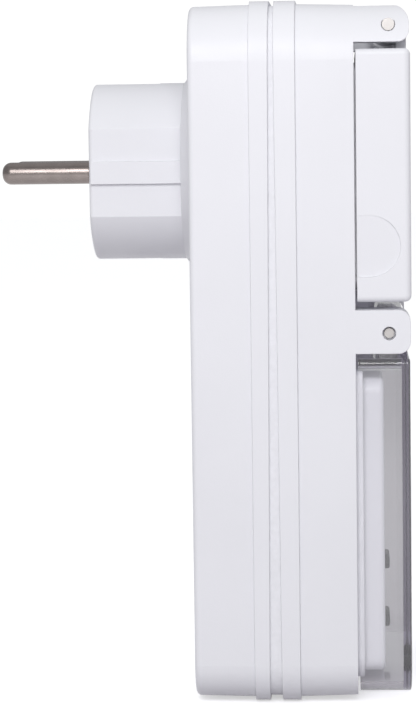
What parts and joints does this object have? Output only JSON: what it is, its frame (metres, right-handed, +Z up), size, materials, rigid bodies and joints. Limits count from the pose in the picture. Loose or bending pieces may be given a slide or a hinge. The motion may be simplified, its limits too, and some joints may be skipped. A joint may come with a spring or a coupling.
{
  "type": "plug in power meter",
  "caption": "Tall two-part case with an earthed plug behind, a lidded socket in front, and a display with buttons under a clear flip cover.",
  "frame": {"origin": "on the line midway between the two pins, 19 mm in from their tips", "axes": "+Z up, +Y the way the pins point (into the wall), so the socket and the display face -Y"},
  "size_m": [0.0714, 0.0878, 0.1474],
  "materials": {
    "case_plastic": "fine-grained light grey moulding",
    "plug_plastic": "satin light grey moulding",
    "nickel": "bright nickel plate with fine drawing lines",
    "steel": "zinc-plated steel",
    "brass": "stamped brass",
    "smoky_clear": "tinted clear polycarbonate",
    "screen_clear": "clear polycarbonate",
    "screen": "grey-green reflective display",
    "seal_rubber": "soft light grey rubber",
    "button_rubber": "matt dark rubber",
    "board": "green solder mask",
    "black_part": "black moulded component",
    "blue_part": "dipped blue component",
    "yellow_part": "yellow film capacitor",
    "battery_wrap": "heat-shrunk sleeve",
    "fuse_glass": "glass tube",
    "wire_brown": "brown insulation",
    "wire_blue": "blue insulation"
  },
  "bodies": {
    "case": {"backup_battery": "battery_wrap", "battery_clip": "steel", "board_connector": "black_part", "board_screws": "steel", "button_switches": "black_part", "case_screws": "steel", "contact_strips": "black_part", "cover_pin": "steel", "cover_seal": "seal_rubber", "display_bezel": "case_plastic", "display_board": "board", "earth_bracket": "nickel", "earth_link": "brass", "filter_capacitor": "battery_wrap", "front_shell": "case_plastic", "fuse": "fuse_glass", "lcd_panel": "screen", "lid_pin": "steel", "lid_spring": "steel", "live_contact": "brass", "live_pin": "nickel", "live_shunt": "brass", "live_wire": "wire_brown", "main_board": "board", "metering_chip": "black_part", "neutral_contact": "brass", "neutral_link": "brass", "neutral_pin": "nickel", "neutral_wire": "wire_blue", "plug_body": "plug_plastic", "plug_retainer": "plug_plastic", "plug_screws": "steel", "rear_shell": "case_plastic", "screen_window": "screen_clear", "seam_gasket": "seal_rubber", "shutter_spring": "steel", "socket_earth_clips": "nickel", "socket_insert": "plug_plastic", "socket_screws": "steel", "supply_capacitor": "yellow_part", "transformer": "black_part", "varistor": "blue_part"},
    "lid": {"lid": "case_plastic", "lid_seal": "seal_rubber"},
    "display_cover": {"display_cover": "smoky_clear"},
    "shutter": {"shutter": "plug_plastic"},
    "button_upper": {"button_upper": "button_rubber"},
    "button_lower": {"button_lower": "button_rubber"}
  },
  "joints": [
    {"name": "lid_hinge", "type": "hinge", "parent": "case", "child": "lid", "pos_m": [0, -0.0643, 0.03], "axis": [-1, 0, 0], "range_deg": [0, 110], "stiffness_Nm_per_rad": 0.03, "springref_deg": -45.84},
    {"name": "cover_hinge", "type": "hinge", "parent": "case", "child": "display_cover", "pos_m": [0, -0.0641, -0.0335], "axis": [-1, 0, 0], "range_deg": [0, 100]},
    {"name": "shutter_turn", "type": "hinge", "parent": "case", "child": "shutter", "pos_m": [0, -0.0384, 0], "axis": [0, 1, 0], "range_deg": [0, 45], "stiffness_Nm_per_rad": 0.001},
    {"name": "button_upper_press", "type": "slide", "parent": "case", "child": "button_upper", "axis": [0, 1, 0], "range_m": [0, 0.0008], "stiffness_N_per_m": 300},
    {"name": "button_lower_press", "type": "slide", "parent": "case", "child": "button_lower", "axis": [0, 1, 0], "range_m": [0, 0.0008], "stiffness_N_per_m": 300}
  ]
}
